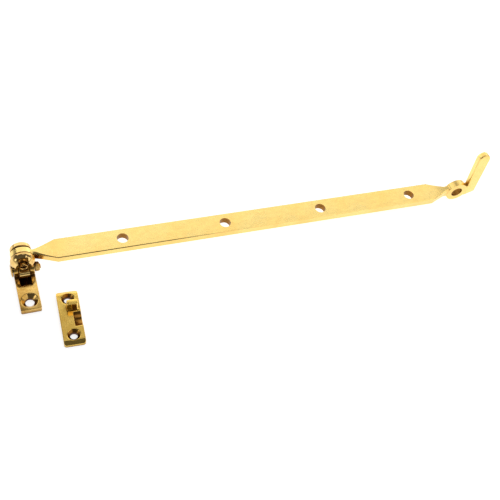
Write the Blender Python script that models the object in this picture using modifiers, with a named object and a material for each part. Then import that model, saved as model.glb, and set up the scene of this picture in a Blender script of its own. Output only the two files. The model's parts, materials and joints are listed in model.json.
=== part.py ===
"""Peg stay for a casement window: bracket, knuckle, holed arm with a lift handle, and keeper.

The frame's origin is on the surface that the stay is screwed to, under the pivot screw.
+X runs along the arm towards its handle, +Y away from the bracket's screw hole, +Z up.
Lengths are in metres. Run it with: blender --background --python part.py
"""
import math

import bmesh
import bpy
from mathutils import Matrix, Vector

MM = 0.001

# Play that every pair of touching pieces keeps between them.
GAP = 0.3 * MM

# Arm: a flat bar with a row of peg holes, an eye at one end and a ring and handle at the other.
STAY_LENGTH = 254.0 * MM
ARM_WIDTH = 12.2 * MM
ARM_THICKNESS = 4.0 * MM
ARM_EDGE = 0.45 * MM
SHOULDER_LENGTH = 10.2 * MM
SHOULDER_START = 7.2 * MM
EYE_NECK_HALF_WIDTH = 1.4 * MM
RING_NECK_HALF_WIDTH = 2.0 * MM
NECK_HALF_HEIGHT = 2.7 * MM
PEG_HOLE_COUNT = 4
PEG_HOLE_PITCH = 56.6 * MM
PEG_HOLE_FIRST = 51.9 * MM
PEG_HOLE_RADIUS = 3.05 * MM
EYE_RADIUS = 5.6 * MM
EYE_THICKNESS = 2.9 * MM
RING_RADIUS = 6.5 * MM
RING_HOLE_RADIUS = 3.4 * MM
RING_THICKNESS = 4.0 * MM
HANDLE_LENGTH = 28.0 * MM
HANDLE_LEAN = math.radians(4.0)
HANDLE_ROOT_HALF_WIDTH = 2.9 * MM
HANDLE_TIP_HALF_WIDTH = 3.7 * MM
HANDLE_HALF_THICKNESS = 1.9 * MM
HANDLE_EDGE = 0.8 * MM
HANDLE_FOOT_DROP = 0.4 * MM
HANDLE_CENTRE = STAY_LENGTH + 9.6 * MM

# Mounting bracket: a plate with two ears and a concave foot in front of them.
BRACKET_WIDTH = 10.4 * MM
BRACKET_FRONT = -23.0 * MM
BRACKET_BACK = 5.0 * MM
PLATE_THICKNESS = 3.3 * MM
SCREW_HOLE_Y = -17.5 * MM
SCREW_HOLE_RADIUS = 2.25 * MM
SCREW_SINK_RADIUS = 4.2 * MM
PIN_HEIGHT = 6.3 * MM
EAR_RADIUS = 3.3 * MM
EAR_FOOT_HEIGHT = 4.0 * MM
EAR_FOOT_FRONT = -8.4 * MM
SLOT_HALF_WIDTH = 2.9 * MM
SLOT_FLOOR = 0.8 * MM

# Pivot screw and nut, through both ears and the knuckle's tongue.
PIN_RADIUS = 1.4 * MM
PIN_CHAMFER = 0.3 * MM
PIN_PAST_NUT = 0.6 * MM
PIN_BORE_RADIUS = PIN_RADIUS + GAP
PIN_HEAD_RADIUS = 3.6 * MM
PIN_HEAD_HEIGHT = 1.1 * MM
NUT_ACROSS_FLATS = 4.8 * MM
NUT_THICKNESS = 2.4 * MM

# Knuckle: a tongue on the pivot screw and a round flange that carries the swivel rivet.
SWIVEL_HEIGHT = 11.0 * MM
TONGUE_HALF_WIDTH = SLOT_HALF_WIDTH - GAP
TONGUE_NOSE_RADIUS = 2.2 * MM
TONGUE_NOSE_REACH = 2.9 * MM
FLANGE_RADIUS = 6.2 * MM
FLANGE_FRONT = 0.2 * MM
FLANGE_BACK = 3.0 * MM
CONE_FRONT = -2.6 * MM
CONE_FRONT_RADIUS = 4.3 * MM
FLANGE_SEAT_RADIUS = 4.0 * MM
FLANGE_SEAT_HEIGHT = 0.4 * MM
POCKET_HALF_WIDTH = 2.7 * MM
POCKET_BACK = -0.65 * MM

# Swivel rivet and its washer. The eye of the arm turns between the flange and the washer.
EYE_FRONT = FLANGE_BACK + GAP
EYE_BACK = EYE_FRONT + EYE_THICKNESS
WASHER_RADIUS = 4.3 * MM
WASHER_THICKNESS = 0.5 * MM
RIVET_HEAD_FRONT = EYE_BACK + WASHER_THICKNESS + 2.0 * GAP
RIVET_HEAD_HEIGHT = 3.3 * MM
RIVET_HEAD_RADIUS = 5.3 * MM
RIVET_RADIUS = 1.7 * MM
RIVET_BORE_RADIUS = RIVET_RADIUS + GAP
RIVET_TAIL_RADIUS = 2.15 * MM
RIVET_TAIL_FRONT = -2.55 * MM

# Keeper: a small plate with two screw holes, a rectangular peg and a scoop in its right edge.
KEEPER_X = 17.8 * MM
KEEPER_Y = -30.9 * MM
KEEPER_TURN = math.radians(-2.5)
KEEPER_LENGTH = 31.0 * MM
KEEPER_WIDTH = 10.8 * MM
KEEPER_CORNER = 1.3 * MM
KEEPER_BEVEL_RUN = 2.2 * MM
KEEPER_BEVEL_DROP = 1.5 * MM
KEEPER_HOLE_OFFSET = 10.5 * MM
KEEPER_HOLE_RADIUS = 1.85 * MM
KEEPER_SINK_RADIUS = 3.35 * MM
PEG_X = 1.5 * MM
PEG_Y = 4.9 * MM
PEG_WIDTH = 5.6 * MM
PEG_DEPTH = 3.2 * MM
PEG_HEIGHT = 5.4 * MM
PEG_SHANK_RADIUS = 1.4 * MM
PEG_SHANK_FOOT = 0.1 * MM
SCOOP_X = 1.4 * MM
SCOOP_FRONT = -6.0 * MM
SCOOP_BACK = 2.4 * MM
SCOOP_FLOOR = 1.5 * MM

# The ring at the arm's far end rests on the surface, so the arm slopes down to it.
ARM_SLOPE = math.asin((SWIVEL_HEIGHT - RING_RADIUS) / STAY_LENGTH)

# Sides of round shapes, holes and bores, and how far a cutter reaches past the piece it cuts.
ROUND_STEPS = 40
HOLE_STEPS = 32
BORE_STEPS = 24
CUT_MARGIN = 4.0 * MM

# Two solids that are joined differ by this much, so that no faces of theirs coincide.
TRIM = 0.05 * MM

# The round on the rims of turned pieces.
RIM_EDGE = 0.35 * MM

PART_COLLECTION = "casement_window_stay"
CUTTER_COLLECTION = "cutters"


def clear_scene():
    for old in list(bpy.data.objects):
        bpy.data.objects.remove(old, do_unlink=True)


def make_collection(name):
    collection = bpy.data.collections.new(name)
    bpy.context.scene.collection.children.link(collection)
    return collection


def make_brass(name, colour, roughness):
    material = bpy.data.materials.new(name)
    material.use_nodes = True
    shader = material.node_tree.nodes["Principled BSDF"]
    shader.inputs["Base Color"].default_value = (*colour, 1.0)
    shader.inputs["Metallic"].default_value = 1.0
    shader.inputs["Roughness"].default_value = roughness
    return material


def make_empty(name, location, rotation=(0.0, 0.0, 0.0), parent=None):
    empty = bpy.data.objects.new(name, None)
    empty.parent = parent
    empty.location = location
    empty.rotation_euler = rotation
    parts.objects.link(empty)
    return empty


def make_object(name, mesh, collection, parent=None, material=None):
    piece = bpy.data.objects.new(name, mesh)
    collection.objects.link(piece)
    piece.parent = parent
    if material is not None:
        mesh.materials.append(material)
    return piece


def finish_bmesh(shape, name):
    """Turn a bmesh into a mesh with outward faces, smooth except at its sharp edges."""
    bmesh.ops.recalc_face_normals(shape, faces=shape.faces)
    mesh = bpy.data.meshes.new(name)
    shape.to_mesh(mesh)
    shape.free()
    mesh.shade_smooth()
    mesh.set_sharp_from_angle(angle=math.radians(35.0))
    return mesh


def box_mesh(name, low, high):
    low, high = Vector(low), Vector(high)
    size = high - low
    shape = bmesh.new()
    bmesh.ops.create_cube(shape, size=1.0)
    bmesh.ops.scale(shape, vec=size, verts=shape.verts)
    bmesh.ops.translate(shape, vec=(low + high) / 2.0, verts=shape.verts)
    return finish_bmesh(shape, name)


def cone_mesh(name, start_radius, end_radius, start, end, steps=ROUND_STEPS):
    """A cylinder or cone frustum between two points, with flat ends."""
    start, end = Vector(start), Vector(end)
    along = end - start
    turn = Vector((0.0, 0.0, 1.0)).rotation_difference(along).to_matrix().to_4x4()
    place = Matrix.Translation((start + end) / 2.0) @ turn
    shape = bmesh.new()
    bmesh.ops.create_cone(shape, cap_ends=True, segments=steps, radius1=start_radius,
                          radius2=end_radius, depth=along.length, matrix=place)
    return finish_bmesh(shape, name)


def round_mesh(name, radius, start, end, steps=ROUND_STEPS):
    return cone_mesh(name, radius, radius, start, end, steps)


def prism_mesh(name, outline, low_x, high_x):
    """Extrude a closed outline of (y, z) points along X."""
    shape = bmesh.new()
    floor = [shape.verts.new((low_x, y, z)) for y, z in outline]
    face = shape.faces.new(floor)
    made = bmesh.ops.extrude_face_region(shape, geom=[face])
    moved = [item for item in made["geom"] if isinstance(item, bmesh.types.BMVert)]
    bmesh.ops.translate(shape, vec=(high_x - low_x, 0.0, 0.0), verts=moved)
    return finish_bmesh(shape, name)


def turned_object(name, profile, parent, material):
    """Turn a profile of (radius, height) points about Z; it runs down the outer side."""
    mesh = bpy.data.meshes.new(name)
    points = [(radius, 0.0, height) for radius, height in profile]
    mesh.from_pydata(points, [(i, i + 1) for i in range(len(points) - 1)], [])
    piece = make_object(name, mesh, parts, parent, material)
    screw = piece.modifiers.new("turn", "SCREW")
    screw.axis = "Z"
    screw.steps = ROUND_STEPS
    screw.render_steps = ROUND_STEPS
    screw.use_merge_vertices = True
    screw.merge_threshold = 0.00001
    screw.use_smooth_shade = False
    return piece


def loft_mesh(name, sections):
    """Skin a row of closed sections that have the same number of points, and cap both ends."""
    shape = bmesh.new()
    rings = [[shape.verts.new(point) for point in section] for section in sections]
    count = len(rings[0])
    for near, far in zip(rings, rings[1:]):
        for i in range(count):
            j = (i + 1) % count
            shape.faces.new((near[i], near[j], far[j], far[i]))
    shape.faces.new(rings[0])
    shape.faces.new(rings[-1])
    return finish_bmesh(shape, name)


def rounded_section(half_width, half_height, corner, steps=2):
    """Points of a rectangle with round corners, as (across, up) pairs."""
    corner = min(corner, 0.9 * half_width, 0.9 * half_height)
    points = []
    for quarter, (side, up) in enumerate(((1, 1), (-1, 1), (-1, -1), (1, -1))):
        for step in range(steps + 1):
            angle = math.pi / 2.0 * (quarter + step / steps)
            across = side * (half_width - corner) + corner * math.cos(angle)
            height = up * (half_height - corner) + corner * math.sin(angle)
            points.append((across, height))
    return points


def arc_points(centre, radius, first, last, steps):
    points = []
    for step in range(steps + 1):
        angle = first + (last - first) * step / steps
        points.append((centre[0] + radius * math.cos(angle), centre[1] + radius * math.sin(angle)))
    return points


def add_boolean(piece, other_mesh, operation, parent=None):
    other = make_object(other_mesh.name, other_mesh, cutters, parent)
    other.hide_render = True
    other.display_type = "WIRE"
    boolean = piece.modifiers.new(other_mesh.name, "BOOLEAN")
    boolean.object = other
    boolean.operation = operation
    boolean.solver = "EXACT"


def add_bevel(piece, width, segments=2, angle=40.0):
    """Round the edges that are sharper than the angle, in degrees."""
    bevel = piece.modifiers.new("soft_edges", "BEVEL")
    bevel.width = width
    bevel.segments = segments
    bevel.limit_method = "ANGLE"
    bevel.angle_limit = math.radians(angle)


def cut_screw_hole(plate, name, place, radius, sink_radius, parent):
    """A through hole and a 90 degree countersink from the top of a plate."""
    x, y = place
    over = 0.5 * MM
    add_boolean(plate, round_mesh(name + "_hole", radius, (x, y, -CUT_MARGIN),
                                  (x, y, PLATE_THICKNESS + CUT_MARGIN), HOLE_STEPS),
                "DIFFERENCE", parent)
    sink_depth = sink_radius - radius + over
    add_boolean(plate, cone_mesh(name + "_sink", sink_radius + over - sink_depth,
                                 sink_radius + over,
                                 (x, y, PLATE_THICKNESS + over - sink_depth),
                                 (x, y, PLATE_THICKNESS + over), HOLE_STEPS),
                "DIFFERENCE", parent)


def build_bracket():
    half = BRACKET_WIDTH / 2.0
    outline = [(BRACKET_BACK, 0.0), (BRACKET_FRONT, 0.0), (BRACKET_FRONT, PLATE_THICKNESS)]
    ear_low = math.asin((PIN_HEIGHT - EAR_FOOT_HEIGHT) / EAR_RADIUS)
    foot_run = -EAR_RADIUS * math.cos(ear_low) - EAR_FOOT_FRONT
    foot_rise = EAR_FOOT_HEIGHT - PLATE_THICKNESS
    foot_steps = 6
    for step in range(foot_steps):
        angle = math.pi / 2.0 * step / foot_steps
        outline.append((EAR_FOOT_FRONT + foot_run * math.sin(angle),
                        PLATE_THICKNESS + foot_rise * (1.0 - math.cos(angle))))
    outline += arc_points((0.0, PIN_HEIGHT), EAR_RADIUS, math.pi + ear_low, 0.0, 20)
    outline += [(EAR_RADIUS, PLATE_THICKNESS), (BRACKET_BACK, PLATE_THICKNESS)]
    bracket = make_object("mounting_bracket", prism_mesh("mounting_bracket", outline, -half, half),
                          parts, material=make_brass("bracket_brass", (0.62, 0.42, 0.13), 0.2))
    add_bevel(bracket, 0.35 * MM, segments=2, angle=60.0)
    add_boolean(bracket, box_mesh("bracket_slot", (-SLOT_HALF_WIDTH, EAR_FOOT_FRONT, SLOT_FLOOR),
                                  (SLOT_HALF_WIDTH, BRACKET_BACK + CUT_MARGIN,
                                   PIN_HEIGHT + EAR_RADIUS + CUT_MARGIN)), "DIFFERENCE")
    add_boolean(bracket, round_mesh("bracket_pin_bore", PIN_BORE_RADIUS,
                                    (-half - CUT_MARGIN, 0.0, PIN_HEIGHT),
                                    (half + CUT_MARGIN, 0.0, PIN_HEIGHT), BORE_STEPS),
                "DIFFERENCE")
    cut_screw_hole(bracket, "bracket_screw", (0.0, SCREW_HOLE_Y), SCREW_HOLE_RADIUS,
                   SCREW_SINK_RADIUS, None)
    return bracket


def build_pivot_screw():
    half = BRACKET_WIDTH / 2.0
    axis = make_empty("pivot_screw_axis", (0.0, 0.0, PIN_HEIGHT), (0.0, -math.pi / 2.0, 0.0))
    head_under = half + GAP
    head_top = head_under + PIN_HEAD_HEIGHT
    tip = -(half + GAP + NUT_THICKNESS + PIN_PAST_NUT)
    profile = [(0.0, head_top), (PIN_HEAD_RADIUS * 0.55, head_top - 0.06 * MM),
               (PIN_HEAD_RADIUS - 0.35 * MM, head_top - 0.3 * MM),
               (PIN_HEAD_RADIUS, head_top - 0.65 * MM), (PIN_HEAD_RADIUS, head_under),
               (PIN_RADIUS, head_under), (PIN_RADIUS, tip + PIN_CHAMFER),
               (PIN_RADIUS - PIN_CHAMFER, tip), (0.0, tip)]
    turned_object("pivot_screw", profile, axis,
                  make_brass("screw_brass", (0.66, 0.47, 0.18), 0.22))


def build_pivot_nut():
    half = BRACKET_WIDTH / 2.0
    axis = make_empty("pivot_nut_axis", (0.0, 0.0, PIN_HEIGHT))
    start = (half + GAP, 0.0, 0.0)
    end = (half + GAP + NUT_THICKNESS, 0.0, 0.0)
    corner_radius = NUT_ACROSS_FLATS / 2.0 / math.cos(math.pi / 6.0)
    nut = make_object("pivot_nut", round_mesh("pivot_nut", corner_radius, start, end, 6), parts,
                      axis, make_brass("nut_brass", (0.45, 0.29, 0.09), 0.3))
    add_bevel(nut, 0.3 * MM)
    bore_start = (half - CUT_MARGIN, 0.0, 0.0)
    bore_end = (half + NUT_THICKNESS + CUT_MARGIN, 0.0, 0.0)
    add_boolean(nut, round_mesh("nut_bore", PIN_BORE_RADIUS, bore_start, bore_end, BORE_STEPS),
                "DIFFERENCE", axis)


def build_knuckle(axis):
    """Everything here is measured from the pivot screw's axis, which the knuckle tilts on."""
    rise = SWIVEL_HEIGHT - PIN_HEIGHT
    rim_back = FLANGE_BACK - FLANGE_SEAT_HEIGHT
    profile = [(0.0, FLANGE_BACK), (FLANGE_SEAT_RADIUS, FLANGE_BACK),
               (FLANGE_SEAT_RADIUS, rim_back), (FLANGE_RADIUS - RIM_EDGE, rim_back),
               (FLANGE_RADIUS, rim_back - RIM_EDGE), (FLANGE_RADIUS, FLANGE_FRONT),
               (CONE_FRONT_RADIUS, CONE_FRONT + RIM_EDGE),
               (CONE_FRONT_RADIUS - RIM_EDGE, CONE_FRONT), (0.0, CONE_FRONT)]
    knuckle = turned_object("knuckle", profile, axis,
                            make_brass("knuckle_brass", (0.8, 0.62, 0.33), 0.18))
    knuckle.location = (0.0, 0.0, rise)
    knuckle.rotation_euler = (-math.pi / 2.0, 0.0, 0.0)
    outside = FLANGE_RADIUS + CUT_MARGIN
    for side, name in ((-1.0, "left"), (1.0, "right")):
        for radius, start, what in (
                (EAR_RADIUS + 1.5 * GAP, TONGUE_HALF_WIDTH, "ear"),
                (PIN_HEAD_RADIUS + GAP, BRACKET_WIDTH / 2.0, "head")):
            add_boolean(knuckle, round_mesh("%s_clearance_%s" % (what, name), radius,
                                            (side * start, 0.0, 0.0), (side * outside, 0.0, 0.0)),
                        "DIFFERENCE", axis)
    boss_half_width = TONGUE_HALF_WIDTH - TRIM
    add_boolean(knuckle, round_mesh("tongue_boss", EAR_RADIUS - TRIM, (-boss_half_width, 0.0, 0.0),
                                    (boss_half_width, 0.0, 0.0)), "UNION", axis)
    nose = arc_points((-TONGUE_NOSE_REACH, 0.0), TONGUE_NOSE_RADIUS, math.pi / 2.0,
                      1.5 * math.pi, 12)
    nose += [(0.5 * MM, -TONGUE_NOSE_RADIUS), (0.5 * MM, TONGUE_NOSE_RADIUS)]
    nose_half_width = boss_half_width - TRIM
    add_boolean(knuckle, prism_mesh("tongue_nose", nose, -nose_half_width, nose_half_width),
                "UNION", axis)
    add_boolean(knuckle, box_mesh("rivet_pocket", (-POCKET_HALF_WIDTH, -FLANGE_RADIUS * 2.0,
                                                   TONGUE_NOSE_RADIUS + TRIM),
                                  (POCKET_HALF_WIDTH, POCKET_BACK, rise + FLANGE_RADIUS * 2.0)),
                "DIFFERENCE", axis)
    add_boolean(knuckle, round_mesh("knuckle_rivet_bore", RIVET_BORE_RADIUS,
                                    (0.0, POCKET_BACK - CUT_MARGIN, rise),
                                    (0.0, FLANGE_BACK + CUT_MARGIN, rise), BORE_STEPS),
                "DIFFERENCE", axis)
    add_boolean(knuckle, round_mesh("knuckle_pin_bore", PIN_BORE_RADIUS,
                                    (-FLANGE_RADIUS * 2.0, 0.0, 0.0),
                                    (FLANGE_RADIUS * 2.0, 0.0, 0.0), BORE_STEPS),
                "DIFFERENCE", axis)


def build_swivel_rivet(axis):
    """Turned about the swivel axis: a button head, a shank and a tail spread in the pocket."""
    head_top = RIVET_HEAD_FRONT + RIVET_HEAD_HEIGHT
    tail_back = POCKET_BACK - GAP
    profile = [(0.0, head_top), (RIVET_HEAD_RADIUS * 0.5, head_top - 0.12 * MM),
               (RIVET_HEAD_RADIUS - 1.0 * MM, head_top - 0.5 * MM),
               (RIVET_HEAD_RADIUS - 0.25 * MM, head_top - 1.1 * MM),
               (RIVET_HEAD_RADIUS, head_top - 1.7 * MM),
               (RIVET_HEAD_RADIUS, RIVET_HEAD_FRONT + RIM_EDGE),
               (RIVET_HEAD_RADIUS - RIM_EDGE, RIVET_HEAD_FRONT), (RIVET_RADIUS, RIVET_HEAD_FRONT),
               (RIVET_RADIUS, tail_back), (RIVET_TAIL_RADIUS, tail_back),
               (RIVET_TAIL_RADIUS, RIVET_TAIL_FRONT + RIM_EDGE),
               (RIVET_TAIL_RADIUS - RIM_EDGE, RIVET_TAIL_FRONT), (0.0, RIVET_TAIL_FRONT)]
    turned_object("swivel_rivet", profile, axis,
                  make_brass("rivet_brass", (0.82, 0.63, 0.32), 0.2))


def build_swivel_washer(axis):
    front = EYE_BACK + GAP
    back = front + WASHER_THICKNESS
    washer = make_object("swivel_washer", round_mesh("swivel_washer", WASHER_RADIUS,
                                                     (0.0, 0.0, front), (0.0, 0.0, back)),
                         parts, axis, make_brass("washer_brass", (0.5, 0.34, 0.12), 0.3))
    add_boolean(washer, round_mesh("washer_bore", RIVET_BORE_RADIUS,
                                   (0.0, 0.0, front - CUT_MARGIN),
                                   (0.0, 0.0, back + CUT_MARGIN), BORE_STEPS),
                "DIFFERENCE", axis)


def neck_section(x, neck_half_width, neck_half_height, fullness):
    """The arm's section at x: fullness 0 is the upright neck, 1 the flat bar."""
    half_width = neck_half_width + (ARM_WIDTH / 2.0 - neck_half_width) * fullness
    half_height = neck_half_height + (ARM_THICKNESS / 2.0 - neck_half_height) * fullness
    corner = ARM_EDGE + (1.0 - fullness) * 0.7 * MM
    return [(x, across, up) for across, up in rounded_section(half_width, half_height, corner)]


def arm_sections():
    """Sections from inside the eye to inside the ring: flared necks, straight shoulders, bar."""
    shoulder_steps = 3
    ring_neck = STAY_LENGTH - RING_RADIUS - 1.6 * MM
    left = [neck_section(reach, EYE_NECK_HALF_WIDTH, half_height, 0.0)
            for reach, half_height in ((2.8 * MM, 4.4 * MM), (4.4 * MM, 3.6 * MM),
                                       (5.8 * MM, 3.0 * MM))]
    right = [neck_section(STAY_LENGTH - reach, RING_NECK_HALF_WIDTH - TRIM, half_height, 0.0)
             for reach, half_height in ((4.7 * MM, 3.9 * MM), (6.4 * MM, 3.1 * MM))]
    for step in range(shoulder_steps + 1):
        fullness = step / shoulder_steps
        run = SHOULDER_LENGTH * fullness
        left.append(neck_section(SHOULDER_START + run, EYE_NECK_HALF_WIDTH, NECK_HALF_HEIGHT,
                                 fullness))
        right.append(neck_section(ring_neck - run, RING_NECK_HALF_WIDTH - TRIM,
                                  NECK_HALF_HEIGHT, fullness))
    return left + right[::-1]


def handle_sections():
    """Sections of the lift handle from its foot on the ring's level up to its round tip."""
    rows = []
    shaft_share = 1.0 - HANDLE_TIP_HALF_WIDTH / HANDLE_LENGTH
    for share in (0.0, 0.5, 1.0):
        half_width = (HANDLE_ROOT_HALF_WIDTH
                      + (HANDLE_TIP_HALF_WIDTH - HANDLE_ROOT_HALF_WIDTH) * share)
        rows.append((shaft_share * share * HANDLE_LENGTH, half_width, HANDLE_HALF_THICKNESS))
    tip_steps = 5
    for step in range(1, tip_steps + 1):
        angle = math.radians(84.0) * step / tip_steps
        rows.append((HANDLE_LENGTH * shaft_share + HANDLE_TIP_HALF_WIDTH * math.sin(angle),
                     HANDLE_TIP_HALF_WIDTH * math.cos(angle),
                     HANDLE_HALF_THICKNESS * (1.0 - 0.35 * step / tip_steps)))
    lean = Matrix.Rotation(-HANDLE_LEAN, 3, "X")
    sections = []
    for height, half_width, half_depth in rows:
        section = rounded_section(half_width, half_depth, HANDLE_EDGE)
        sections.append([Vector((HANDLE_CENTRE, 0.0, 0.0)) + lean @ Vector((across, depth, height))
                         for across, depth in section])
    return sections


def build_arm(axis):
    """Measured from the eye's centre, with x along the bar and z square to its face."""
    half_eye = EYE_THICKNESS / 2.0
    half_ring = RING_THICKNESS / 2.0
    arm = make_object("stay_arm", loft_mesh("stay_arm", arm_sections()), parts, axis,
                      make_brass("arm_brass", (0.91, 0.72, 0.36), 0.24))
    add_boolean(arm, round_mesh("arm_eye", EYE_RADIUS, (0.0, -half_eye, 0.0),
                                (0.0, half_eye, 0.0)), "UNION", axis)
    add_boolean(arm, round_mesh("arm_ring", RING_RADIUS, (STAY_LENGTH, -half_ring, 0.0),
                                (STAY_LENGTH, half_ring, 0.0)), "UNION", axis)
    add_boolean(arm, loft_mesh("arm_handle", handle_sections()), "UNION", axis)
    foot_start = STAY_LENGTH + RING_HOLE_RADIUS + 1.2 * MM
    foot_end = HANDLE_CENTRE + HANDLE_ROOT_HALF_WIDTH - 0.3 * MM
    foot = [[(x, across, up - HANDLE_FOOT_DROP) for across, up
             in rounded_section(HANDLE_HALF_THICKNESS - TRIM, height, HANDLE_EDGE)]
            for x, height in ((foot_start, 1.9 * MM), (foot_end, 1.5 * MM))]
    add_boolean(arm, loft_mesh("arm_handle_foot", foot), "UNION", axis)
    add_boolean(arm, round_mesh("arm_rivet_bore", RIVET_BORE_RADIUS, (0.0, -CUT_MARGIN, 0.0),
                                (0.0, CUT_MARGIN, 0.0), BORE_STEPS), "DIFFERENCE", axis)
    add_boolean(arm, round_mesh("arm_ring_hole", RING_HOLE_RADIUS,
                                (STAY_LENGTH, -CUT_MARGIN, 0.0),
                                (STAY_LENGTH, CUT_MARGIN, 0.0), HOLE_STEPS),
                "DIFFERENCE", axis)
    for index in range(PEG_HOLE_COUNT):
        x = PEG_HOLE_FIRST + index * PEG_HOLE_PITCH
        add_boolean(arm, round_mesh("peg_hole_%d" % (index + 1), PEG_HOLE_RADIUS,
                                    (x, 0.0, -CUT_MARGIN), (x, 0.0, CUT_MARGIN),
                                    HOLE_STEPS), "DIFFERENCE", axis)


def keeper_outline():
    """The keeper's plan with round corners, as (x, y) pairs."""
    return rounded_section(KEEPER_WIDTH / 2.0, KEEPER_LENGTH / 2.0, KEEPER_CORNER, steps=4)


def keeper_scoop_outline():
    """The scoop's section along the plate: a flat floor with rounded ends, open at the top."""
    radius = PLATE_THICKNESS - SCOOP_FLOOR
    top = PLATE_THICKNESS + CUT_MARGIN
    outline = [(SCOOP_FRONT, top)]
    outline += arc_points((SCOOP_FRONT + radius, PLATE_THICKNESS), radius, math.pi,
                          1.5 * math.pi, 4)
    outline += arc_points((SCOOP_BACK - radius, PLATE_THICKNESS), radius, 1.5 * math.pi,
                          2.0 * math.pi, 4)
    outline.append((SCOOP_BACK, top))
    return outline


def build_keeper(place):
    shape = bmesh.new()
    floor = [shape.verts.new((x, y, 0.0)) for x, y in keeper_outline()]
    face = shape.faces.new(floor)
    made = bmesh.ops.extrude_face_region(shape, geom=[face])
    moved = [item for item in made["geom"] if isinstance(item, bmesh.types.BMVert)]
    bmesh.ops.translate(shape, vec=(0.0, 0.0, PLATE_THICKNESS), verts=moved)
    keeper = make_object("keeper_plate", finish_bmesh(shape, "keeper_plate"), parts, place,
                         make_brass("keeper_brass", (0.7, 0.51, 0.19), 0.24))
    half_length = KEEPER_LENGTH / 2.0
    wide = KEEPER_WIDTH
    for side, name in ((-1.0, "front"), (1.0, "back")):
        slope = [(side * (half_length - KEEPER_BEVEL_RUN), PLATE_THICKNESS),
                 (side * (half_length + KEEPER_BEVEL_RUN),
                  PLATE_THICKNESS - 2.0 * KEEPER_BEVEL_DROP),
                 (side * (half_length + KEEPER_BEVEL_RUN), PLATE_THICKNESS + CUT_MARGIN),
                 (side * (half_length - KEEPER_BEVEL_RUN), PLATE_THICKNESS + CUT_MARGIN)]
        add_boolean(keeper, prism_mesh("keeper_bevel_" + name, slope, -wide, wide),
                    "DIFFERENCE", place)
    add_bevel(keeper, 0.3 * MM, segments=2, angle=20.0)
    scoop = keeper_scoop_outline()
    add_boolean(keeper, prism_mesh("keeper_scoop", scoop, SCOOP_X, wide), "DIFFERENCE", place)
    for side, name in ((-1.0, "front"), (1.0, "back")):
        cut_screw_hole(keeper, "keeper_screw_" + name, (0.0, side * KEEPER_HOLE_OFFSET),
                       KEEPER_HOLE_RADIUS, KEEPER_SINK_RADIUS, place)
    add_boolean(keeper, round_mesh("keeper_peg_bore", PEG_SHANK_RADIUS + GAP,
                                   (PEG_X, PEG_Y, -CUT_MARGIN),
                                   (PEG_X, PEG_Y, PLATE_THICKNESS + CUT_MARGIN), BORE_STEPS),
                "DIFFERENCE", place)


def build_keeper_peg(place):
    base = PLATE_THICKNESS + GAP
    peg = make_object("keeper_peg", box_mesh("keeper_peg",
                                             (PEG_X - PEG_WIDTH / 2.0, PEG_Y - PEG_DEPTH / 2.0,
                                              base),
                                             (PEG_X + PEG_WIDTH / 2.0, PEG_Y + PEG_DEPTH / 2.0,
                                              base + PEG_HEIGHT)), parts, place,
                      make_brass("peg_brass", (0.72, 0.53, 0.2), 0.22))
    add_bevel(peg, 0.45 * MM, segments=3)
    add_boolean(peg, round_mesh("peg_shank", PEG_SHANK_RADIUS, (PEG_X, PEG_Y, PEG_SHANK_FOOT),
                                (PEG_X, PEG_Y, base + PEG_HEIGHT / 2.0), BORE_STEPS),
                "UNION", place)


clear_scene()
parts = make_collection(PART_COLLECTION)
cutters = make_collection(CUTTER_COLLECTION)

tilt_axis = make_empty("knuckle_tilt_axis", (0.0, 0.0, PIN_HEIGHT))
swivel_rise = SWIVEL_HEIGHT - PIN_HEIGHT
rivet_axis = make_empty("swivel_rivet_axis", (0.0, 0.0, swivel_rise), (-math.pi / 2.0, 0.0, 0.0),
                        tilt_axis)
swing_axis = make_empty("arm_swing_axis", (0.0, (EYE_FRONT + EYE_BACK) / 2.0, swivel_rise),
                        (0.0, ARM_SLOPE, 0.0), tilt_axis)
keeper_place = make_empty("keeper_place", (KEEPER_X, KEEPER_Y, 0.0), (0.0, 0.0, KEEPER_TURN))

build_bracket()
build_pivot_screw()
build_pivot_nut()
build_knuckle(tilt_axis)
build_swivel_rivet(rivet_axis)
build_swivel_washer(rivet_axis)
build_arm(swing_axis)
build_keeper(keeper_place)
build_keeper_peg(keeper_place)
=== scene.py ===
import json
import math

import bmesh
import bpy
from mathutils import Matrix, Vector


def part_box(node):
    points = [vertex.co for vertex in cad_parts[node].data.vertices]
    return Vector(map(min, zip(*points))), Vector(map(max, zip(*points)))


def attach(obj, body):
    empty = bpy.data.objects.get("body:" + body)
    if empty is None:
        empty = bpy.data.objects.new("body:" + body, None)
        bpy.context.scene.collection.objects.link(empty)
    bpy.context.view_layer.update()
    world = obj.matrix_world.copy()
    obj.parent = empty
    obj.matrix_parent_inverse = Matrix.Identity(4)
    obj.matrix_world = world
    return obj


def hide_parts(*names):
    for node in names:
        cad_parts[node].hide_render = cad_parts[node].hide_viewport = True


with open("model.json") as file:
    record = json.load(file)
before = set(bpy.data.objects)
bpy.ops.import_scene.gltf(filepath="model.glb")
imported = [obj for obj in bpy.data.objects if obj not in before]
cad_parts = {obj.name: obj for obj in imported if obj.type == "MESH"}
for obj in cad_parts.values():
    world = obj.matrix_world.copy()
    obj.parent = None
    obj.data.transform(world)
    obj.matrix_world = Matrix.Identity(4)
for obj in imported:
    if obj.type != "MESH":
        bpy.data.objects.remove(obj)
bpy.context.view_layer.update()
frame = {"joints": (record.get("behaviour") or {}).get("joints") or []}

# Peg stay for a casement window. Shapes are built in millimetres and baked into metres.
MM = 0.001
joints = {joint["name"]: joint for joint in frame["joints"]}
PIVOT = Vector(joints["knuckle_tilt"]["pos_m"]) / MM
SWIVEL = Vector(joints["arm_swing"]["pos_m"]) / MM
# What is turned about Z is put on the swivel's axis, with its height running back along Y.
SWIVEL_PLACE = (Matrix.Translation((0.0, 0.0, SWIVEL.z))
                @ Matrix.Rotation(-math.pi / 2.0, 4, "X"))

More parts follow.
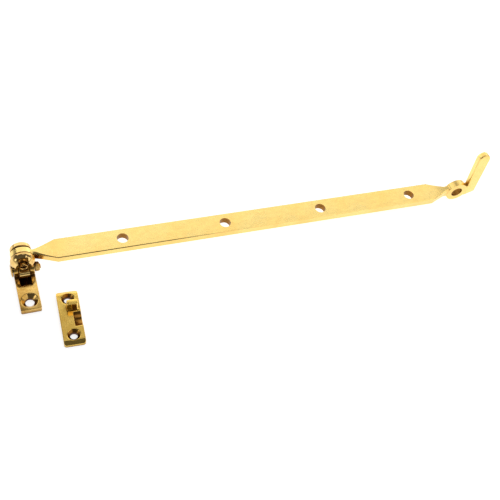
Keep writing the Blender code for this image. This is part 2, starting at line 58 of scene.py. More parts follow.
# Camera: where it stands and what it aims at, its roll, and its focal length in millimetres.
CAMERA_PLACE = Vector((-19.5, -252.7, 377.6))
CAMERA_AIM = Vector((117.8, -12.9, 7.0))
CAMERA_ROLL = math.radians(14.78)
CAMERA_LENS = 61.7

# Thickness of the bracket's and of the keeper's plate.
PLATE = 3.3

# Bracket, its two ears and the pin through them. Round sizes are radii.
BRACKET_HOLE_Y = -17.5
BRACKET_HOLE = 2.25
BRACKET_SINK = 4.2
BRACKET_CORNER = 0.9
EAR = 3.3
EAR_FOOT = 4.0
FOOT_FRONT = -8.4
SLOT_HALF = 2.9
SLOT_FLOOR = 0.8
PIN = 1.4
PIN_BORE = 1.7

# Knuckle, the rivet in it and the boss and nose of its tongue. Fronts and backs are places
# along Y, measured from the pin.
FLANGE = 6.2
FLANGE_FRONT = 0.2
FLANGE_RIM_BACK = 2.6
FLANGE_BACK = 3.0
SEAT = 4.0
CONE_FRONT = -2.6
CONE = 4.3
CONE_SHOULDER = 5.2
CONE_SHOULDER_FRONT = -1.4
TONGUE_HALF = 2.55
TONGUE_BOSS = 3.25
NOSE = 2.2
NOSE_REACH = 2.9
NOSE_BACK = 0.5
POCKET_HALF = 2.7
POCKET_BACK = -0.65
RIVET = 1.7
RIVET_BORE = 2.0
RIVET_HEAD = 5.3
RIVET_HEAD_FRONT = 7.3
RIVET_HEAD_BACK = 10.6
RIVET_TAIL = 2.15
RIVET_TAIL_FRONT = -2.55

# Arm, measured from the middle of its eye, along the bar and square to its face. Each row of
# a neck is a distance from the middle of the eye or ring and half of the height there.
REACH = 254.0
BAR_HALF_WIDTH = 6.1
BAR_HALF_HEIGHT = 2.0
BAR_CORNER = 0.35
NECK_CORNER = 0.8
EYE_NECK_HALF_WIDTH = 1.4
RING_NECK_HALF_WIDTH = 1.95
NECK_HALF_HEIGHT = 2.9
EYE_SHOULDER_HALF_WIDTH = 1.8
SHOULDER_START = 7.2
SHOULDER = 10.2
EYE = 5.6
EYE_HALF = 1.45
EYE_NECK = ((2.8, 4.4), (4.4, 3.6), (5.8, 3.0))
RING = 6.5
RING_HOLE = 3.4
RING_HALF = 2.0
RING_NECK = ((4.7, 3.9), (6.4, 3.1))
RING_SHOULDER_START = RING + 1.6
PEG_HOLES = 4
PEG_HOLE_FIRST = 51.9
PEG_HOLE_PITCH = 56.6
PEG_HOLE = 3.05
HANDLE = 28.0
HANDLE_LEAN = math.radians(4.0)
HANDLE_ROOT_HALF = 3.1
HANDLE_TIP_HALF = 3.7
HANDLE_HALF_DEPTH = 1.9
HANDLE_CORNER = 0.7
HANDLE_X = REACH + 9.6
ARM_SLOPE = math.asin((SWIVEL.z - RING) / REACH)

# Keeper, measured from the middle of its plate.
KEEPER_PLACE = Matrix.Translation((17.8, -30.9, 0.0)) @ Matrix.Rotation(math.radians(-2.5), 4, "Z")
KEEPER_HALF_LENGTH = 15.5
KEEPER_HALF_WIDTH = 5.4
KEEPER_CORNER = 1.3
KEEPER_HOLE_Y = 10.5
KEEPER_HOLE = 1.85
KEEPER_SINK = 3.35
KEEPER_BEVEL_RUN = 2.2
KEEPER_BEVEL_DROP = 1.5
SCOOP_X = 1.4
SCOOP_FRONT = -6.0
SCOOP_BACK = 2.4
SCOOP_FLOOR = 1.5
PEG_PLACE = Vector((1.5, 4.9, PLATE + 0.3))
PEG_HALF_WIDTH = 2.8
PEG_HALF_DEPTH = 1.6
PEG_HEIGHT = 5.4
PEG_CORNER = 0.7

# Sides of a round solid, and how far a cut runs past what it cuts.
STEPS = 96
PAST = 4.0

# Voxel and rounds of smoothing of the cast bracket and keeper.
CAST_VOXEL = 0.13
CAST_ROUNDS = 5


def bmesh_to_mesh(shape, name):
    bmesh.ops.recalc_face_normals(shape, faces=shape.faces)
    mesh = bpy.data.meshes.new(name)
    shape.to_mesh(mesh)
    shape.free()
    return mesh


def box(name, low, high):
    low, high = Vector(low), Vector(high)
    shape = bmesh.new()
    bmesh.ops.create_cube(shape, size=1.0)
    bmesh.ops.scale(shape, vec=high - low, verts=shape.verts)
    bmesh.ops.translate(shape, vec=(low + high) / 2.0, verts=shape.verts)
    return bmesh_to_mesh(shape, name)


def cone(name, start_radius, end_radius, start, end, steps=STEPS):
    start, end = Vector(start), Vector(end)
    along = end - start
    turn = Vector((0.0, 0.0, 1.0)).rotation_difference(along).to_matrix().to_4x4()
    shape = bmesh.new()
    bmesh.ops.create_cone(shape, cap_ends=True, segments=steps, radius1=start_radius,
                          radius2=end_radius, depth=along.length,
                          matrix=Matrix.Translation((start + end) / 2.0) @ turn)
    return bmesh_to_mesh(shape, name)


def rod(name, radius, start, end, steps=STEPS):
    return cone(name, radius, radius, start, end, steps)


def prism(name, outline, low, high, axis="X"):
    """Extrude a closed outline from low to high: (y, z) points along X, or (x, y) along Z."""
    shape = bmesh.new()
    if axis == "X":
        ring = [shape.verts.new((low, y, z)) for y, z in outline]
        move = Vector((high - low, 0.0, 0.0))
    else:
        ring = [shape.verts.new((x, y, low)) for x, y in outline]
        move = Vector((0.0, 0.0, high - low))
    made = bmesh.ops.extrude_face_region(shape, geom=[shape.faces.new(ring)])
    moved = [item for item in made["geom"] if isinstance(item, bmesh.types.BMVert)]
    bmesh.ops.translate(shape, vec=move, verts=moved)
    return bmesh_to_mesh(shape, name)


def loft(name, sections):
    """Skin closed sections that have the same number of points, and cap both ends."""
    shape = bmesh.new()
    rings = [[shape.verts.new(point) for point in section] for section in sections]
    count = len(rings[0])
    for near, far in zip(rings, rings[1:]):
        for i in range(count):
            j = (i + 1) % count
            shape.faces.new((near[i], near[j], far[j], far[i]))
    shape.faces.new(rings[0])
    shape.faces.new(rings[-1])
    return bmesh_to_mesh(shape, name)


def turned(name, profile, place):
    """Turn a closed profile of (radius, height) points about Z, then put it in place."""
    shape = bmesh.new()
    rows = []
    for radius, height in profile:
        if radius < 1e-6:
            rows.append([shape.verts.new((0.0, 0.0, height))] * STEPS)
            continue
        rows.append([shape.verts.new((radius * math.cos(math.tau * i / STEPS),
                                      radius * math.sin(math.tau * i / STEPS), height))
                     for i in range(STEPS)])
    for near, far in zip(rows, rows[1:] + rows[:1]):
        for i in range(STEPS):
            j = (i + 1) % STEPS
            corners = [near[i], near[j], far[j], far[i]]
            face = [v for k, v in enumerate(corners) if v not in corners[:k]]
            if len(face) > 2:
                shape.faces.new(face)
    bmesh.ops.transform(shape, matrix=place, verts=shape.verts)
    return bmesh_to_mesh(shape, name)


def arc(centre, radius, first, last, steps):
    points = []
    for step in range(steps + 1):
        angle = math.radians(first + (last - first) * step / steps)
        points.append((centre[0] + radius * math.cos(angle), centre[1] + radius * math.sin(angle)))
    return points


def rounded(half_width, half_height, corner, steps=5):
    """Points of a rectangle with round corners."""
    corner = min(corner, 0.92 * half_width, 0.92 * half_height)
    points = []
    for quarter, (side, up) in enumerate(((1, 1), (-1, 1), (-1, -1), (1, -1))):
        centre = (side * (half_width - corner), up * (half_height - corner))
        points += arc(centre, corner, 90.0 * quarter, 90.0 * (quarter + 1), steps)
    return points


def link(name, mesh):
    piece = bpy.data.objects.new(name, mesh)
    bpy.context.scene.collection.objects.link(piece)
    return piece


def combine(name, base, *steps):
    """Join and cut solids one after the other. Each step is (operation, mesh)."""
    piece = link(name, base)
    others = []
    for operation, mesh in steps:
        other = link(mesh.name, mesh)
        others.append(other)
        boolean = piece.modifiers.new(mesh.name, "BOOLEAN")
        boolean.object = other
        boolean.operation = operation
        boolean.solver = "EXACT"
    return piece, others


def soften(piece, voxel, rounds):
    """Melt the joined solids into one skin with soft edges, like a cast and polished piece."""
    skin = piece.modifiers.new("skin", "REMESH")
    skin.mode = "VOXEL"
    skin.voxel_size = voxel
    polish = piece.modifiers.new("polish", "SMOOTH")
    polish.factor = 0.5
    polish.iterations = rounds


def bevel(piece, width, angle):
    """Round the edges that are sharper than the angle."""
    edge = piece.modifiers.new("edge", "BEVEL")
    edge.width = width
    edge.segments = 2
    edge.limit_method = "ANGLE"
    edge.angle_limit = math.radians(angle)


def settle(piece, others, body, node, material, place=Matrix.Identity(4),
           shade_faces=None):
    """Apply the modifiers, bake the piece into metres and hand it to the frame.

    Faces that the last argument picks get a darker brass, painted shade inside a hole or a
    pocket. A piece that soften() did not melt keeps its sharp edges.
    """
    bpy.context.view_layer.update()
    shown = piece.evaluated_get(bpy.context.evaluated_depsgraph_get())
    mesh = bpy.data.meshes.new_from_object(shown)
    mesh.materials.clear()
    mesh.materials.append(material)
    if shade_faces:
        mesh.materials.append(hole_shade_brass)
        for face in mesh.polygons:
            if shade_faces(face):
                face.material_index = 1
    mesh.transform(Matrix.Scale(MM, 4) @ place)
    mesh.shade_smooth()
    if "skin" not in piece.modifiers:
        mesh.set_sharp_from_angle(angle=math.radians(35.0))
    for old in [piece] + others:
        bpy.data.objects.remove(old, do_unlink=True)
    final = link("fine_" + node, mesh)
    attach(final, body)
    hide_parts(node)


def screw_hole(name, x, y, radius, sink):
    """A through hole and a 90 degree countersink, as two cuts."""
    over = 0.5
    depth = sink - radius + over
    return (("DIFFERENCE", rod(name + "_hole", radius, (x, y, -PAST), (x, y, PLATE + PAST))),
            ("DIFFERENCE", cone(name + "_sink", radius, sink + over,
                                (x, y, PLATE + over - depth), (x, y, PLATE + over))))


def build_bracket(material):
    """A plate with one countersunk hole, rising at the back into ears with a slot between."""
    low, high = (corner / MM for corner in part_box("mounting_bracket"))
    half = high.x
    ear_low = math.degrees(math.asin((PIVOT.z - EAR_FOOT) / EAR))
    foot_back = -EAR * math.cos(math.radians(ear_low))
    outline = [(high.y, 0.0), (low.y, 0.0), (low.y, PLATE)]
    foot_steps = 16
    for step in range(foot_steps):
        angle = math.pi / 2.0 * step / foot_steps
        outline.append((FOOT_FRONT + (foot_back - FOOT_FRONT) * math.sin(angle),
                        PLATE + (EAR_FOOT - PLATE) * (1.0 - math.cos(angle))))
    outline += arc((0.0, PIVOT.z), EAR, 180.0 + ear_low, 0.0, 48)
    outline += [(EAR, PLATE), (high.y, PLATE)]
    plan = rounded(half, (high.y - low.y) / 2.0, BRACKET_CORNER, 8)
    middle = (high.y + low.y) / 2.0
    piece, others = combine(
        "bracket", prism("bracket_side", outline, -half, half),
        ("INTERSECT", prism("bracket_plan", [(x, y + middle) for x, y in plan], -PAST,
                            high.z + PAST, "Z")),
        ("DIFFERENCE", box("bracket_slot", (-SLOT_HALF, FOOT_FRONT, SLOT_FLOOR),
                           (SLOT_HALF, high.y + PAST, high.z + PAST))),
        ("DIFFERENCE", rod("bracket_bore", PIN_BORE, (-half - PAST, 0.0, PIVOT.z),
                           (half + PAST, 0.0, PIVOT.z))),
        *screw_hole("bracket", 0.0, BRACKET_HOLE_Y, BRACKET_HOLE, BRACKET_SINK))
    soften(piece, CAST_VOXEL, CAST_ROUNDS)
    settle(piece, others, "bracket", "mounting_bracket", material)


def build_pivot_screw(material):
    """A domed head with a slot, a plain shank and a thread at its end."""
    low, high = (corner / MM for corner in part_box("pivot_screw"))
    head = (high.z - low.z) / 2.0
    head_height = 1.1
    top = -low.x
    under = top - head_height
    tip = -high.x
    profile = [(0.0, top), (1.4, top - 0.03), (2.4, top - 0.12), (3.0, top - 0.26),
               (head - 0.2, top - 0.42), (head - 0.04, top - 0.58), (head, top - 0.75),
               (head - 0.05, under + 0.1), (head - 0.2, under), (PIN, under)]
    thread_length, pitch, depth = 3.3, 0.5, 0.16
    height = tip + thread_length
    while height > tip + 0.45:
        profile += [(PIN, height), (PIN - depth, height - pitch / 2.0)]
        height -= pitch
    profile += [(PIN - 0.1, tip + 0.25), (PIN - 0.35, tip), (0.0, tip)]
    place = Matrix.Translation((0.0, 0.0, PIVOT.z)) @ Matrix.Rotation(-math.pi / 2.0, 4, "Y")
    slot_depth, slot_half, slot_turn = 0.55, 0.4, math.radians(25.0)
    slot = box("screw_slot", (-head - 1.0, -slot_half, top - slot_depth),
               (head + 1.0, slot_half, top + 1.0))
    slot.transform(place @ Matrix.Rotation(slot_turn, 4, "Z"))
    piece, others = combine("screw", turned("screw", profile, place), ("DIFFERENCE", slot))
    bevel(piece, 0.06, 50.0)
    settle(piece, others, "bracket", "pivot_screw", material)


def build_pivot_nut(material):
    """A six-sided nut with a rounded crown."""
    low, high = (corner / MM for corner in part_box("pivot_nut"))
    across = (high.z - low.z) / 2.0
    corner = across / math.cos(math.pi / 6.0)
    start = Vector((low.x, 0.0, PIVOT.z))
    end = Vector((high.x, 0.0, PIVOT.z))
    thick = high.x - low.x
    crown, foot = 0.75, 0.45
    cap = [(0.0, 0.0), (across - 0.1, 0.0), (corner, foot), (corner, thick - crown),
           (across - 0.25, thick), (0.0, thick)]
    place = Matrix.Translation(start) @ Matrix.Rotation(math.pi / 2.0, 4, "Y")
    lead = Vector((0.3, 0.0, 0.0))
    past = Vector((PAST, 0.0, 0.0))
    piece, others = combine(
        "nut", rod("nut", corner, start, end, 6),
        ("INTERSECT", turned("nut_crown", cap, place)),
        ("DIFFERENCE", rod("nut_bore", PIN_BORE, start - past, end + past)),
        ("DIFFERENCE", cone("nut_lead", PIN_BORE - 0.1, PIN_BORE + 0.5, end - lead, end + lead)))
    soften(piece, 0.07, 4)
    settle(piece, others, "bracket", "pivot_nut", material)


def build_knuckle(material):
    """A turned flange and cone, cut for the ears and the screw's head, with a tongue."""
    profile = [(0.0, FLANGE_BACK), (SEAT, FLANGE_BACK), (SEAT, FLANGE_RIM_BACK)]
    rim = 0.6
    profile += arc((FLANGE - rim, FLANGE_RIM_BACK - rim), rim, 90.0, 0.0, 8)
    profile += [(FLANGE, FLANGE_FRONT), (CONE_SHOULDER, CONE_SHOULDER_FRONT),
                (CONE, CONE_FRONT + 0.3), (CONE - 0.3, CONE_FRONT), (0.0, CONE_FRONT)]
    steps = []
    outside = FLANGE + PAST
    ear_room, ear_start = EAR + 0.45, 2.6
    head_room, head_start = 3.9, 5.2
    for side, name in ((-1.0, "left"), (1.0, "right")):
        steps.append(("DIFFERENCE", rod("ear_" + name, ear_room, (side * ear_start, 0.0, PIVOT.z),
                                        (side * outside, 0.0, PIVOT.z))))
        steps.append(("DIFFERENCE", rod("head_" + name, head_room, (side * head_start, 0.0, PIVOT.z),
                                        (side * outside, 0.0, PIVOT.z))))
    nose = arc((-NOSE_REACH, PIVOT.z), NOSE, 90.0, 270.0, 32)
    nose += [(NOSE_BACK, PIVOT.z - NOSE), (NOSE_BACK, PIVOT.z + NOSE)]
    steps += [
        ("UNION", rod("boss", TONGUE_BOSS, (-TONGUE_HALF, 0.0, PIVOT.z),
                      (TONGUE_HALF, 0.0, PIVOT.z))),
        ("UNION", prism("nose", nose, -TONGUE_HALF + 0.03, TONGUE_HALF - 0.03)),
        ("DIFFERENCE", box("pocket", (-POCKET_HALF, -PAST * 3.0, PIVOT.z + NOSE + 0.05),
                           (POCKET_HALF, POCKET_BACK, SWIVEL.z + FLANGE * 2.0))),
        ("DIFFERENCE", rod("rivet_bore", RIVET_BORE, (0.0, -PAST * 2.0, SWIVEL.z),
                           (0.0, PAST * 2.0, SWIVEL.z))),
        ("DIFFERENCE", rod("pin_bore", PIN_BORE, (-outside, 0.0, PIVOT.z),
                           (outside, 0.0, PIVOT.z)))]
    piece, others = combine("knuckle", turned("knuckle", profile, SWIVEL_PLACE), *steps)
    bevel(piece, 0.12, 40.0)
    settle(piece, others, "knuckle", "knuckle", material)


def build_swivel_rivet(material):
    """A domed head, a shank through the arm's eye and a spread, hollow tail."""
    head, top, under = RIVET_HEAD, RIVET_HEAD_BACK, RIVET_HEAD_FRONT
    tail_back = POCKET_BACK - 0.3
    crown, edge = 1.5, 0.35
    profile = [(0.0, top)]
    dome_steps = 12
    for step in range(1, dome_steps + 1):
        angle = math.pi / 2.0 * step / dome_steps
        profile.append((head * math.sin(angle) ** 0.8, top - crown * (1.0 - math.cos(angle))))
    profile += [(head, under + edge)]
    profile += arc((head - edge, under + edge), edge, 0.0, -90.0, 6)
    profile += [(RIVET, under), (RIVET, tail_back), (RIVET_TAIL - 0.15, tail_back),
                (RIVET_TAIL, tail_back - 0.2), (RIVET_TAIL, RIVET_TAIL_FRONT + 0.3),
                (RIVET_TAIL - 0.12, RIVET_TAIL_FRONT + 0.06), (RIVET_TAIL - 0.35, RIVET_TAIL_FRONT),
                (RIVET_TAIL - 0.5, RIVET_TAIL_FRONT + 0.1), (1.5, RIVET_TAIL_FRONT + 0.4),
                (1.4, RIVET_TAIL_FRONT + 1.2), (1.1, RIVET_TAIL_FRONT + 1.45),
                (0.0, RIVET_TAIL_FRONT + 1.5)]
    piece, others = combine("rivet", turned("rivet", profile, SWIVEL_PLACE))
    settle(piece, others, "knuckle", "swivel_rivet", material)


def build_swivel_washer(material):
    """A thin ring with a round rim, between the arm's eye and the rivet's head."""
    low, high = (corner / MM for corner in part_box("swivel_washer"))
    edge = (high.y - low.y) / 2.0
    outer = high.x - edge
    profile = arc((outer, low.y + edge), edge, 90.0, -90.0, 8)
    profile += [(RIVET_BORE + 0.1, low.y), (RIVET_BORE, low.y + 0.1),
                (RIVET_BORE, high.y - 0.1), (RIVET_BORE + 0.1, high.y)]
    piece, others = combine("washer", turned("washer", profile, SWIVEL_PLACE))
    settle(piece, others, "knuckle", "swivel_washer", material)


def bar_section(x, neck_half_width, neck_half_height, fullness):
    """The arm's section at x: fullness 0 is the upright neck, 1 the flat bar."""
    half_width = neck_half_width + (BAR_HALF_WIDTH - neck_half_width) * fullness
    half_height = BAR_HALF_HEIGHT + (neck_half_height - BAR_HALF_HEIGHT) * (1.0 - fullness) ** 3
    corner = BAR_CORNER + (1.0 - fullness) ** 2 * (NECK_CORNER - BAR_CORNER)
    return [(x, across, up) for across, up in rounded(half_width, half_height, corner, 1)]


def bar_sections():
    """Flared necks out of the eye and the ring, straight shoulders and the flat bar."""
    steps = 12
    left = [bar_section(reach, EYE_NECK_HALF_WIDTH, half_height, 0.0)
            for reach, half_height in EYE_NECK]
    right = [bar_section(REACH - reach, RING_NECK_HALF_WIDTH, half_height, 0.0)
             for reach, half_height in RING_NECK]
    for step in range(steps + 1):
        fullness = step / steps
        run = SHOULDER * fullness
        left.append(bar_section(SHOULDER_START + run, EYE_SHOULDER_HALF_WIDTH,
                                NECK_HALF_HEIGHT, fullness))
        right.append(bar_section(REACH - RING_SHOULDER_START - run, RING_NECK_HALF_WIDTH,
                                 NECK_HALF_HEIGHT, fullness))
    return left + right[::-1]


def handle_sections():
    """A tapered blade with a round tip, leaning a little off upright."""
    rows = []
    shaft = HANDLE - HANDLE_TIP_HALF
    for share in (0.0, 0.25, 0.5, 0.75, 1.0):
        half_width = HANDLE_ROOT_HALF + (HANDLE_TIP_HALF - HANDLE_ROOT_HALF) * share
        rows.append((shaft * share, half_width, HANDLE_HALF_DEPTH))
    tip_steps, tip_turn, thinning = 14, math.radians(86.0), 0.12
    for step in range(1, tip_steps + 1):
        angle = tip_turn * step / tip_steps
        rows.append((shaft + HANDLE_TIP_HALF * math.sin(angle), HANDLE_TIP_HALF * math.cos(angle),
                     HANDLE_HALF_DEPTH * (1.0 - thinning * step / tip_steps)))
    lean = Matrix.Rotation(-HANDLE_LEAN, 3, "X")
    return [[Vector((HANDLE_X, 0.0, 0.0)) + lean @ Vector((across, depth, height))
             for across, depth in rounded(half_width, half_depth, HANDLE_CORNER)]
            for height, half_width, half_depth in rows]


def foot_sections():
    """The low web that joins the ring to the handle's root."""
    half, corner, drop = HANDLE_HALF_DEPTH - 0.05, 0.9, 0.4
    return [[(x, across, up - drop) for across, up in rounded(half, height, corner)]
            for x, height in ((REACH + RING_HOLE + 1.2, 4.2),
                              (HANDLE_X - HANDLE_ROOT_HALF + 0.7, 4.0),
                              (HANDLE_X + HANDLE_ROOT_HALF - 0.3, 1.5))]


def in_arm_hole(face):
    """True for the walls of the ring's hole and of the peg holes."""
    x, y, z = face.center
    if abs(face.normal.y) < 0.1 and math.hypot(x - REACH, z) < RING_HOLE:
        return True
    index = round((x - PEG_HOLE_FIRST) / PEG_HOLE_PITCH)
    return (0 <= index < PEG_HOLES and abs(face.normal.z) < 0.1
            and math.hypot(x - PEG_HOLE_FIRST - PEG_HOLE_PITCH * index, y) < PEG_HOLE)


def in_keeper_hollow(face):
    """True for the walls of the keeper's countersinks and the floor and wall of its scoop."""
    x, y, z = face.center
    if math.hypot(x, abs(y) - KEEPER_HOLE_Y) < KEEPER_SINK - 0.1 and 0.1 < z < PLATE - 0.2:
        return True
    return (SCOOP_X - 0.1 < x < KEEPER_HALF_WIDTH - 0.15 and SCOOP_FRONT < y < SCOOP_BACK
            and SCOOP_FLOOR - 0.2 < z < PLATE - 0.15)


def build_arm(material):
    """Eye, bar, ring and handle in one piece, built level and then sloped onto the swivel."""
    place = Matrix.Translation(SWIVEL) @ Matrix.Rotation(ARM_SLOPE, 4, "Y")
    steps = [
        ("UNION", rod("eye", EYE, (0.0, -EYE_HALF, 0.0), (0.0, EYE_HALF, 0.0))),
        ("UNION", rod("ring", RING, (REACH, -RING_HALF, 0.0), (REACH, RING_HALF, 0.0))),
        ("UNION", loft("handle", handle_sections())),
        ("UNION", loft("handle_foot", foot_sections())),
        ("DIFFERENCE", rod("eye_bore", RIVET_BORE, (0.0, -PAST, 0.0), (0.0, PAST, 0.0))),
        ("DIFFERENCE", rod("ring_hole", RING_HOLE, (REACH, -PAST, 0.0), (REACH, PAST, 0.0)))]
    for index in range(PEG_HOLES):
        x = PEG_HOLE_FIRST + PEG_HOLE_PITCH * index
        steps.append(("DIFFERENCE", rod("peg_hole_%d" % (index + 1), PEG_HOLE,
                                        (x, 0.0, -PAST), (x, 0.0, PAST))))
    piece, others = combine("arm", loft("bar", bar_sections()), *steps)
    settle(piece, others, "arm", "stay_arm", material, place, in_arm_hole)


def build_keeper(material):
    """A loose plate with sloped ends, two countersunk holes and a scoop beside its peg."""
    half, wide = KEEPER_HALF_LENGTH, KEEPER_HALF_WIDTH + PAST
    run, drop = KEEPER_BEVEL_RUN, KEEPER_BEVEL_DROP
    steps = []
    for side, name in ((-1.0, "front"), (1.0, "back")):
        slope = [(side * (half - run), PLATE), (side * (half + run), PLATE - 2.0 * drop),
                 (side * (half + run), PLATE + PAST), (side * (half - run), PLATE + PAST)]
        steps.append(("DIFFERENCE", prism("slope_" + name, slope, -wide, wide)))
        steps += screw_hole("keeper_" + name, 0.0, side * KEEPER_HOLE_Y, KEEPER_HOLE, KEEPER_SINK)
    reach, depth = (SCOOP_BACK - SCOOP_FRONT) / 2.0, PLATE - SCOOP_FLOOR
    radius = (reach ** 2 + depth ** 2) / (2.0 * depth)
    middle, height = (SCOOP_BACK + SCOOP_FRONT) / 2.0, SCOOP_FLOOR + radius
    steps.append(("DIFFERENCE", rod("scoop", radius, (SCOOP_X, middle, height),
                                    (wide, middle, height))))
    steps.append(("DIFFERENCE", rod("peg_bore", PIN_BORE, (PEG_PLACE.x, PEG_PLACE.y, -PAST),
                                    (PEG_PLACE.x, PEG_PLACE.y, PLATE + PAST))))
    plan = rounded(KEEPER_HALF_WIDTH, half, KEEPER_CORNER, 8)
    piece, others = combine("keeper", prism("keeper_plan", plan, 0.0, PLATE, "Z"), *steps)
    soften(piece, CAST_VOXEL, CAST_ROUNDS)
    settle(piece, others, "keeper", "keeper_plate", material, KEEPER_PLACE,
           in_keeper_hollow)


def build_keeper_peg(material):
    """The peg flares at its foot, tapers a little and is round at the top."""
    taper, top_round, round_steps = 0.1, 0.6, 6
    side = PEG_HEIGHT - top_round
    rows = [(0.0, 0.25), (0.25, 0.22), (0.55, 0.08), (0.9, 0.0), (side, -taper)]
    for step in range(1, round_steps + 1):
        angle = math.pi / 2.0 * step / round_steps
        rows.append((side + top_round * math.sin(angle),
                     -taper - top_round * (1.0 - math.cos(angle))))
    sections = [[(PEG_PLACE.x + x, PEG_PLACE.y + y, PEG_PLACE.z + height)
                 for x, y in rounded(PEG_HALF_WIDTH + grow, PEG_HALF_DEPTH + grow, PEG_CORNER, 6)]
                for height, grow in rows]
    piece, others = combine("peg", loft("peg", sections),
                            ("UNION", rod("shank", PIN, (PEG_PLACE.x, PEG_PLACE.y, 0.1),
                                          (PEG_PLACE.x, PEG_PLACE.y, PEG_PLACE.z + 2.0))))
    settle(piece, others, "keeper", "keeper_peg", material, KEEPER_PLACE)


def brass(name, light, deep, roughness, grain=(1.0, 1.0, 1.0), blotch_scale=110.0,
          shade_colour=(0.08, 0.018, 0.001), closed_in=0.45, alone=False):
    """Polished brass: mottled colour, polishing lines, painted shade in recesses and bright edges.

    An openness of closed_in or less gets the full painted shade colour, and alone leaves the
    other pieces out of that measure.
    """
    material = bpy.data.materials.new(name)
    material.use_nodes = True
    tree = material.node_tree
    shader = tree.nodes["Principled BSDF"]
    shader.inputs["Metallic"].default_value = 1.0
    coords = tree.nodes.new("ShaderNodeTexCoord").outputs["Object"]

    def noise(scale, detail, source=coords):
        node = tree.nodes.new("ShaderNodeTexNoise")
        node.inputs["Scale"].default_value = scale
        node.inputs["Detail"].default_value = detail
        tree.links.new(source, node.inputs["Vector"])
        return node.outputs["Fac"]

    def spread(source, low, high, bottom=0.0, top=1.0):
        node = tree.nodes.new("ShaderNodeMapRange")
        node.inputs["From Min"].default_value = low
        node.inputs["From Max"].default_value = high
        node.inputs["To Min"].default_value = bottom
        node.inputs["To Max"].default_value = top
        tree.links.new(source, node.inputs["Value"])
        return node.outputs["Result"]

    def math_node(operation, first, second):
        node = tree.nodes.new("ShaderNodeMath")
        node.operation = operation
        for socket, value in zip(node.inputs, (first, second)):
            if isinstance(value, float):
                socket.default_value = value
            else:
                tree.links.new(value, socket)
        return node.outputs[0]

    def mix(share, first, second):
        node = tree.nodes.new("ShaderNodeMix")
        node.data_type = "RGBA"
        tree.links.new(share, node.inputs["Factor"])
        for socket, value in zip(node.inputs[6:8], (first, second)):
            if isinstance(value, tuple):
                socket.default_value = (*value, 1.0)
            else:
                tree.links.new(value, socket)
        return node.outputs[2]

    mapping = tree.nodes.new("ShaderNodeMapping")
    mapping.inputs["Scale"].default_value = grain
    tree.links.new(coords, mapping.inputs["Vector"])
    blotch = noise(blotch_scale, 4.0)
    speck = noise(900.0, 3.0)
    lines = noise(420.0, 3.0, mapping.outputs["Vector"])
    # Painted shade: where ambient occlusion finds near surfaces, the colour is darkened towards a
    # dark brass.
    occlusion = tree.nodes.new("ShaderNodeAmbientOcclusion")
    occlusion.inputs["Distance"].default_value = 7.0 * MM
    occlusion.samples = 8
    occlusion.only_local = alone
    shade_mask = spread(occlusion.outputs["AO"], 0.8, closed_in)
    edges = spread(tree.nodes.new("ShaderNodeNewGeometry").outputs["Pointiness"], 0.52, 0.6)
    tone = spread(math_node("ADD", blotch, math_node("MULTIPLY", speck, 0.35)), 0.5, 0.85)
    colour = mix(tone, deep, light)
    colour = mix(shade_mask, colour, shade_colour)
    colour = mix(math_node("MULTIPLY", edges, 0.6), colour, light)
    tree.links.new(colour, shader.inputs["Base Color"])
    rough = math_node("ADD", spread(blotch, 0.35, 0.65, roughness * 0.85, roughness * 1.2),
                      spread(lines, 0.3, 0.7, -0.03, 0.04))
    rough = math_node("ADD", rough, math_node("MULTIPLY", shade_mask, 0.15))
    tree.links.new(rough, shader.inputs["Roughness"])
    height = math_node("ADD", lines, math_node("MULTIPLY", speck, 0.5))
    relief = tree.nodes.new("ShaderNodeBump")
    relief.inputs["Strength"].default_value = 0.12
    relief.inputs["Distance"].default_value = 0.05 * MM
    tree.links.new(height, relief.inputs["Height"])
    tree.links.new(relief.outputs["Normal"], shader.inputs["Normal"])
    return material


def build_camera():
    data = bpy.data.cameras.new("camera")
    data.lens = CAMERA_LENS
    data.clip_start = 0.01
    data.clip_end = 20.0
    camera = link("camera", data)
    look = (CAMERA_AIM - CAMERA_PLACE).to_track_quat("-Z", "Y").to_matrix().to_4x4()
    camera.matrix_world = (Matrix.Translation(CAMERA_PLACE * MM) @ look
                           @ Matrix.Rotation(CAMERA_ROLL, 4, "Z"))
    bpy.context.scene.camera = camera


def softbox(name, place, aim, size, power):
    data = bpy.data.lights.new(name, "AREA")
    data.shape = "RECTANGLE"
    data.size, data.size_y = size
    data.energy = power
    lamp = link(name, data)
    turn = (Vector(aim) - Vector(place)).to_track_quat("-Z", "Y").to_matrix().to_4x4()
    lamp.matrix_world = Matrix.Translation(Vector(place)) @ turn


def build_stage():
    """A flat white floor that glows, so that it stays pale all over."""
    half_side, gap = 4.0, 0.3 * MM
    shape = bmesh.new()
    bmesh.ops.create_grid(shape, x_segments=4, y_segments=4, size=half_side)
    floor = link("floor", bmesh_to_mesh(shape, "floor"))
    floor.location.z = -gap
    material = bpy.data.materials.new("floor_white")
    material.use_nodes = True
    shader = material.node_tree.nodes["Principled BSDF"]
    shader.inputs["Base Color"].default_value = (0.55, 0.55, 0.55, 1.0)
    shader.inputs["Roughness"].default_value = 0.9
    shader.inputs["Emission Color"].default_value = (1.0, 1.0, 1.0, 1.0)
    shader.inputs["Emission Strength"].default_value = 0.79
    floor.data.materials.append(material)


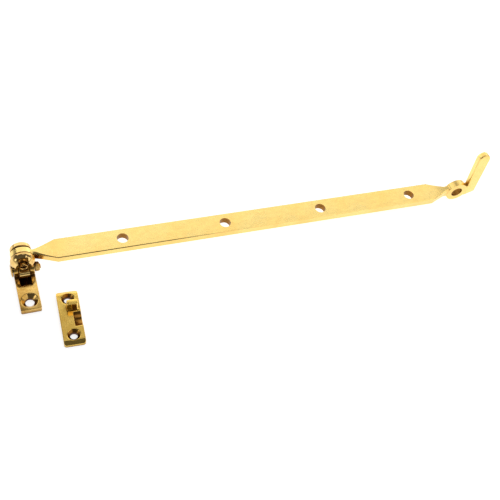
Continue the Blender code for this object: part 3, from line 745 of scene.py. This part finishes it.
def build_world():
    """A studio that is bright at the horizon and below it, and dim overhead."""
    world = bpy.data.worlds.new("studio")
    bpy.context.scene.world = world
    world.use_nodes = True
    tree = world.node_tree
    coords = tree.nodes.new("ShaderNodeTexCoord")
    split = tree.nodes.new("ShaderNodeSeparateXYZ")
    ramp = tree.nodes.new("ShaderNodeValToRGB")
    tree.links.new(coords.outputs["Generated"], split.inputs["Vector"])
    tree.links.new(split.outputs["Z"], ramp.inputs["Fac"])
    tree.links.new(ramp.outputs["Color"], tree.nodes["Background"].inputs["Color"])
    ramp.color_ramp.elements[0].position = 0.05
    ramp.color_ramp.elements[0].color = (0.7, 0.7, 0.7, 1.0)
    ramp.color_ramp.elements[1].position = 0.45
    ramp.color_ramp.elements[1].color = (0.1, 0.1, 0.1, 1.0)
    tree.nodes["Background"].inputs["Strength"].default_value = 1.0


# All the pieces are one brass: their different light and deep colours are painted light and shade
# for how the lamps fall on each piece.
arm_brass = brass("arm_brass", (1.0, 0.75, 0.265), (0.93, 0.57, 0.15), 0.22, (0.6, 1.0, 1.0),
                  blotch_scale=70.0, shade_colour=(0.42, 0.2, 0.04), closed_in=0.3, alone=True)
# Painted shade: a dark brass for the walls of holes and pockets.
hole_shade_brass = brass("hole_shade_brass", (0.46, 0.23, 0.045), (0.2, 0.08, 0.01), 0.2)
bracket_brass = brass("bracket_brass", (0.84, 0.55, 0.17), (0.54, 0.3, 0.06), 0.1)
knuckle_brass = brass("knuckle_brass", (0.92, 0.64, 0.25), (0.68, 0.39, 0.1), 0.07)
keeper_brass = brass("keeper_brass", (1.0, 0.68, 0.17), (0.84, 0.51, 0.09), 0.14)
fixing_brass = brass("fixing_brass", (0.78, 0.5, 0.16), (0.42, 0.22, 0.04), 0.12)

build_camera()
build_stage()
build_world()
softbox("back_softbox", (0.28, 0.378, 0.213), (0.28, 0.04, 0.005), (1.2, 0.5), 2.2)
softbox("keeper_card", (0.1, 0.18, 0.42), (0.1, 0.0, 0.0), (0.17, 0.09), 0.024)
softbox("top_softbox", (0.2, -0.14, 0.6), (0.18, 0.0, 0.0), (0.8, 0.3), 0.8)
softbox("front_softbox", (0.57, -0.4, 0.32), (0.12, 0.0, 0.0), (0.9, 0.4), 1.1)
softbox("left_softbox", (-0.6, -0.1, 0.3), (0.0, 0.0, 0.0), (0.2, 0.2), 0.2)

build_bracket(bracket_brass)
build_pivot_screw(fixing_brass)
build_pivot_nut(fixing_brass)
build_knuckle(knuckle_brass)
build_swivel_rivet(knuckle_brass)
build_swivel_washer(fixing_brass)
build_arm(arm_brass)
build_keeper(keeper_brass)
build_keeper_peg(keeper_brass)

bpy.context.scene.view_settings.view_transform = "Standard"
